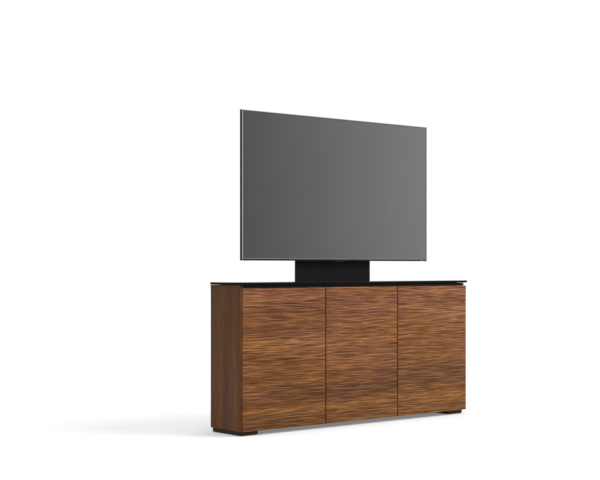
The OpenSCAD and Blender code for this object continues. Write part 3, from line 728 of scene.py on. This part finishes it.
def carveDoor(tree, look, side):
    node = "door_" + side
    low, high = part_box(node)
    piece = newPiece(node + "_carved", bpy.data.meshes.new(node + "_carved"))
    carving = piece.modifiers.new("carving", "NODES")
    carving.node_group = tree
    wanted = {
        "Size": high - low, "Place": (low + high) / 2,
        "Columns": look["columns"], "Rows": look["rows"], "Relief": look["relief"],
        "Stroke Length": look["strokeLength"], "Stroke Pitch": look["strokePitch"],
        "Sway": look["sway"], "Flutter": look["flutter"], "Skim": look["skim"],
        "Rim": look["rim"], "Rim Drop": look["rimDrop"], "Rim Tone": look["rimTone"],
        "Back Tone": look["backTone"], "Seed": float(look["seeds"][side]),
        "Finish": finishes["carved_walnut"]}
    for item in tree.interface.items_tree:
        if item.name in wanted:
            carving[item.identifier] = wanted[item.name]
    applyModifiers(piece)
    closeBack(piece, high.y, look["backSlack"])
    hingeX, inward = (high.x, -1) if side == "right" else (low.x, 1)
    cutAway(piece, cupCutter(look, "hinge_cups_" + side, hingeX, inward, high.y))
    smoothUnder(piece, look["smoothAngle"], look["flatBack"])
    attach(piece, node)
    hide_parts(node)
    print(piece.name, "faces", len(piece.data.polygons))


doorTree = carvingTree(gougeLook)
for side in ("left", "center", "right"):
    carveDoor(doorTree, carvedDoor, side)

# Boards and covers with their sharp edges eased
easedEdges = {
    "boards": 0.0009,
    "boardNodes": ("side_panel_left", "side_panel_right", "partition_left", "partition_right",
                   "bottom_panel", "top_panel", "top_front_rail",
                   "shelf_left", "shelf_center", "shelf_right"),
    "hiddenBoard": "top_front_rail",   # its edges get no painted highlight
    "feet": 0.0012,
    "glass": 0.0010,
    "glassUpright": 0.9,       # faces of the glass that tilt less are its ground edge
    "steel": 0.0006,
    "steelNodes": ("column_cover", "mount_plate", "mount_crossbar", "post_left", "post_right",
                   "hook_bracket_left", "hook_bracket_right"),
    "caps": 0.0010,
    "backCover": 0.0008,
    "shortest": 0.012,         # rims of holes are shorter pieces than this
    "flatAngle": 0.5,          # faces that meet nearly flat are joined
    "sharpAngle": 30,
    "segments": 2,
}


def easeEdges(nodeName, width, edgeFinish=None, shortest=0.0):
    look = easedEdges
    source = cadNodes[nodeName]
    bm = bmesh.new()
    bm.from_mesh(source.data)
    bmesh.ops.remove_doubles(bm, verts=bm.verts, dist=sameSpot)
    bmesh.ops.dissolve_limit(bm, angle_limit=math.radians(look["flatAngle"]),
                             verts=bm.verts, edges=bm.edges)
    weight = bm.edges.layers.float.new("bevel_weight_edge")
    for edge in bm.edges:
        sharp = hasTwoFaces(edge) and edge.calc_face_angle() > math.radians(look["sharpAngle"])
        if sharp and edge.calc_length() > shortest:
            edge[weight] = 1.0
    mesh = finishMesh(bm, nodeName + "_eased")
    mesh.materials.append(source.data.materials[0])
    if edgeFinish:
        mesh.materials.append(edgeFinish)
    piece = newPiece(nodeName + "_eased", mesh)
    bevel = piece.modifiers.new("easing", "BEVEL")
    bevel.limit_method = "WEIGHT"
    bevel.width = width
    bevel.segments = look["segments"]
    bevel.material = 1 if edgeFinish else -1
    applyModifiers(piece)
    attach(piece, source["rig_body"])
    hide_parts(nodeName)
    return piece


for name in easedEdges["boardNodes"]:
    rubbed = None if name == easedEdges["hiddenBoard"] else walnutEdgeHighlight
    easeEdges(name, easedEdges["boards"], rubbed, easedEdges["shortest"])
for name in ("foot_left", "foot_right"):
    easeEdges(name, easedEdges["feet"])
for name in easedEdges["steelNodes"]:
    easeEdges(name, easedEdges["steel"], steelEdgeHighlight, easedEdges["shortest"])
easeEdges("post_caps", easedEdges["caps"])
glass = easeEdges("glass_top", easedEdges["glass"], glassEdge)
for face in glass.data.polygons:
    if abs(face.normal.z) < easedEdges["glassUpright"]:
        face.material_index = 1
print("boards, feet, steel and glass eased")

# Screen frame. Its edge widths and finishes go bottom, right, top, left. The finishes are grey
# copies of the bezel that differ by side: painted highlights and painted shade
screenFrame = {
    "widths": (0.013, 0.006, 0.006, 0.012),
    "outerInsets": (0.0008, 0.0026, 0.0030, 0.0044),
    "innerRims": (0.0038, 0.0007, 0.0007, 0.0007),
    "outerDepth": 0.0013,
    "rimDepth": 0.0007,
    "lip": 0.0015,
    "wall": 0.002,
    "outerFinish": (0, 2, 2, 0),
    "faceFinish": (0, 3, 3, 4),
    "rimFinish": (1, 0, 0, 0),
    "windowEdge": 0.032,       # from the screen's right end
    "windowWide": 0.018,
    "windowTall": 0.0050,
    "windowOut": 0.0003,
    "eyeWide": 0.060,          # dark lip under the middle of the lower edge
    "eyeTall": 0.005,
    "eyeDeep": 0.006,
    "edgeRough": 0.4,
    "edgeSpecular": 0.2,
    # Finishes 1 to 4 and their grey levels: painted highlights on the mid, pale and bright ones,
    # painted shade on the dark one. Finish 0 is the bezel's
    "paintedEdgeLevels": {"midFrameEdge": 0.17, "paleFrameEdge": 0.30,
                   "darkFrameEdge": 0.11, "brightFrameEdge": 0.36},
}


def ringAt(bm, low, high, insets, depth):
    left, right = low.x + insets[3], high.x - insets[1]
    under, over = low.z + insets[0], high.z - insets[2]
    corners = ((left, under), (right, under), (right, over), (left, over))
    return [bm.verts.new((x, depth, z)) for x, z in corners]


def buildScreenFrame(look):
    low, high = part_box("screen_bezel")
    front, back = low.y, high.y
    none = (0, 0, 0, 0)
    walls = [look["wall"]] * 4
    rims = [width - rim for width, rim in zip(look["widths"], look["innerRims"])]
    outer, lip = front + look["outerDepth"], front + look["lip"]
    sections = (
        (none, back), (none, outer),
        (look["outerInsets"], front), (rims, front),
        (look["widths"], front + look["rimDepth"]), (look["widths"], lip),
        (walls, lip), (walls, back))
    bm = bmesh.new()
    rings = [ringAt(bm, low, high, insets, depth) for insets, depth in sections]
    finishOf = {1: look["outerFinish"], 2: look["faceFinish"], 3: look["rimFinish"]}
    for index, ring in enumerate(rings):
        following = rings[(index + 1) % len(rings)]
        for corner in range(4):
            after = (corner + 1) % 4
            face = bm.faces.new((ring[corner], ring[after], following[after], following[corner]))
            face.material_index = finishOf.get(index, none)[corner]

    # Small pale window for the remote control's eye, and the dark lip
    end, under = high.x - look["windowEdge"], low.z + look["outerInsets"][0]
    out, half = look["windowOut"], look["eyeWide"] / 2
    addBox(bm, (end - look["windowWide"], front - out, under),
           (end, front + out, under + look["windowTall"]), 2)
    addBox(bm, (-half, outer, low.z - look["eyeTall"]), (half, outer + look["eyeDeep"], under), 0)
    bmesh.ops.recalc_face_normals(bm, faces=bm.faces)
    mesh = finishMesh(bm, "screen_frame")
    mesh.materials.append(finishes["bezel"])
    for name, level in look["paintedEdgeLevels"].items():
        edge = glassFinish(name, level, look["edgeRough"], look["edgeSpecular"])
        mesh.materials.append(edge)
    piece = newPiece("screen_frame", mesh)
    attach(piece, "screen")
    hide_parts("screen_bezel")


buildScreenFrame(screenFrame)
print("screen frame built")

# Sockets cut in the heads of bolts and screws, and the hinges' own screws
fasteners = {
    "hexSides": 6,
    "hexRadius": 0.0034,
    "hexDepth": 0.0028,
    "crossRadius": 0.0026,
    "crossWidth": 0.0010,
    "crossDepth": 0.0009,
    "headRadius": 0.0036,
    "headTall": 0.0013,
    "headEase": 0.0005,
    "headSides": 24,
    "cupSpread": 0.022,        # screws above and below a cup's middle
    "plateSpread": 0.016,
    "plateThick": 0.003,
}


def islandBoxes(nodeName):
    bm = bmesh.new()
    bm.from_mesh(cadNodes[nodeName].data)
    bmesh.ops.remove_doubles(bm, verts=bm.verts, dist=sameSpot)
    left = set(bm.verts)
    boxes = []
    while left:
        found, waiting = [], [left.pop()]
        while waiting:
            vert = waiting.pop()
            found.append(vert.co.copy())
            for edge in vert.link_edges:
                other = edge.other_vert(vert)
                if other in left:
                    left.discard(other)
                    waiting.append(other)
        ends = (Vector(pick(point[axis] for point in found) for axis in range(3))
                for pick in (min, max))
        boxes.append(tuple(ends))
    bm.free()
    return sorted(boxes, key=lambda box: tuple(round(part, 4) for part in box[0]))


def cutDrives(piece, spots, facing, hexagon):
    look = fasteners
    long, narrow, deep = 2 * look["crossRadius"], look["crossWidth"], look["crossDepth"] * 2
    bm = bmesh.new()
    for spot in spots:
        if hexagon:
            addRound(bm, look["hexSides"], look["hexRadius"], look["hexRadius"],
                     look["hexDepth"] * 2, facing, spot)
            continue
        for size in ((long, narrow, deep), (narrow, long, deep)):
            arm = bmesh.ops.create_cube(bm, size=1.0)["verts"]
            bmesh.ops.scale(bm, verts=arm, vec=size)
            setDown(bm, arm, facing, spot)
    cutAway(piece, newPiece("drives", finishMesh(bm, "drives")), overlapping=True)


def driveNode(nodeName, facing, hexagon):
    source = cadNodes[nodeName]
    piece = newPiece(nodeName + "_driven", source.data.copy())
    spots = []
    for low, high in islandBoxes(nodeName):
        middle = (low + high) / 2
        spots.append((middle.x, high.y if facing > 0 else low.y, middle.z))
    cutDrives(piece, spots, (0, facing, 0), hexagon)
    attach(piece, source["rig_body"])
    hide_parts(nodeName)


def addScrews(name, spots, facing, rides):
    look = fasteners
    rise = Vector(facing) * look["headTall"]
    bm = bmesh.new()
    for spot in spots:
        addRound(bm, look["headSides"], look["headRadius"], look["headRadius"] - look["headEase"],
                 look["headTall"], facing, Vector(spot) + rise / 2)
    mesh = finishMesh(bm, name)
    mesh.materials.append(finishes["bolt_steel"])
    piece = newPiece(name, mesh)
    cutDrives(piece, [Vector(spot) + rise for spot in spots], facing, False)
    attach(piece, rides)


def addHingeScrews(side, wall, inward):
    plateLow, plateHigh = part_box("hinge_plates")
    low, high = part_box("hinge_cups_" + side)
    middles = (low.z + carvedDoor["cupHalf"], high.z - carvedDoor["cupHalf"])
    cupX, plateY = (low.x + high.x) / 2, (plateLow.y + plateHigh.y) / 2
    face = wall + inward * fasteners["plateThick"]
    cupSpots = [(cupX, high.y, z + way * fasteners["cupSpread"])
                for z in middles for way in (-1, 1)]
    plateSpots = [(face, plateY, z + way * fasteners["plateSpread"])
                  for z in middles for way in (-1, 1)]
    addScrews("hinge_cup_screws_" + side, cupSpots, (0, 1, 0), "door_" + side)
    addScrews("hinge_plate_screws_" + side, plateSpots, (inward, 0, 0), "cabinet")


driveNode("post_bolts", -1, True)
driveNode("plate_bolts", -1, True)
driveNode("bracket_bolts", 1, False)
driveNode("back_panel_screws", 1, False)
addHingeScrews("left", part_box("side_panel_left")[1].x, 1)
addHingeScrews("center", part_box("partition_left")[1].x, 1)
addHingeScrews("right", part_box("side_panel_right")[0].x, -1)
print("screws and bolt sockets made")

# Back of the screen: eased edges and a sunk bay with plain sockets
portBay = {
    "left": 0.300, "right": 0.440,
    "low": 1.090, "high": 1.130,
    "depth": 0.014,
    "cutReach": 0.005,         # in and out from the cover's face
    "wall": 0.0015,
    "lip": 0.0012,
    "socketWide": (0.016, 0.016, 0.014, 0.014, 0.018),
    "socketTall": (0.0065, 0.0065, 0.0075, 0.0075, 0.010),
    "firstSocket": 0.020,
    "socketPitch": 0.025,
    "rim": 0.0008,
    "out": 0.006,
}


def joinBoxes(name, boxes, materials=()):
    bm = bmesh.new()
    for box in boxes:
        addBox(bm, *box)
    mesh = finishMesh(bm, name)
    for material in materials:
        mesh.materials.append(material)
    return newPiece(name, mesh)


def trayBoxes(look, floor, top):
    left, right, low, high = (look[part] for part in ("left", "right", "low", "high"))
    wall = look["wall"]
    under = floor - wall
    return [
        ((left, under, low), (right, floor, high), 0),
        ((left - wall, under, low - wall), (left, top, high + wall), 0),
        ((right, under, low - wall), (right + wall, top, high + wall), 0),
        ((left, under, low - wall), (right, top, low), 0),
        ((left, under, high), (right, top, high + wall), 0)]


def socketBoxes(x, z, wide, tall, floor, out, rim):
    # Four plated walls around a black tongue
    boxes = []
    for way in (-1, 1):
        edge = x + way * (wide / 2 + rim / 2)
        boxes.append(((edge - rim / 2, floor, z - tall / 2 - rim),
                      (edge + rim / 2, out, z + tall / 2 + rim), 1))
        edge = z + way * (tall / 2 + rim / 2)
        boxes.append(((x - wide / 2, floor, edge - rim / 2),
                      (x + wide / 2, out, edge + rim / 2), 1))
    boxes.append(((x - wide / 2 + 2 * rim, floor, z - rim),
                  (x + wide / 2 - 2 * rim, out - 2 * rim, z + rim), 0))
    return boxes


def buildPortBay(look, cover):
    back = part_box("screen_back_cover")[1].y
    reach, floor = look["cutReach"], back - look["depth"]
    opening = ((look["left"], back - reach, look["low"]),
               (look["right"], back + reach, look["high"]), 0)
    cutAway(cover, joinBoxes("hole", [opening]))
    boxes = trayBoxes(look, floor, back - look["lip"])
    middle = (look["low"] + look["high"]) / 2
    for index, (wide, tall) in enumerate(zip(look["socketWide"], look["socketTall"])):
        x = look["left"] + look["firstSocket"] + index * look["socketPitch"]
        boxes += socketBoxes(x, middle, wide, tall, floor, floor + look["out"], look["rim"])
    bay = joinBoxes("port_bay", boxes, (finishes["black_plastic"], finishes["bolt_steel"]))
    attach(bay, "screen")


backCover = easeEdges("screen_back_cover", easedEdges["backCover"], None, easedEdges["shortest"])
buildPortBay(portBay, backCover)
print("screen back finished")
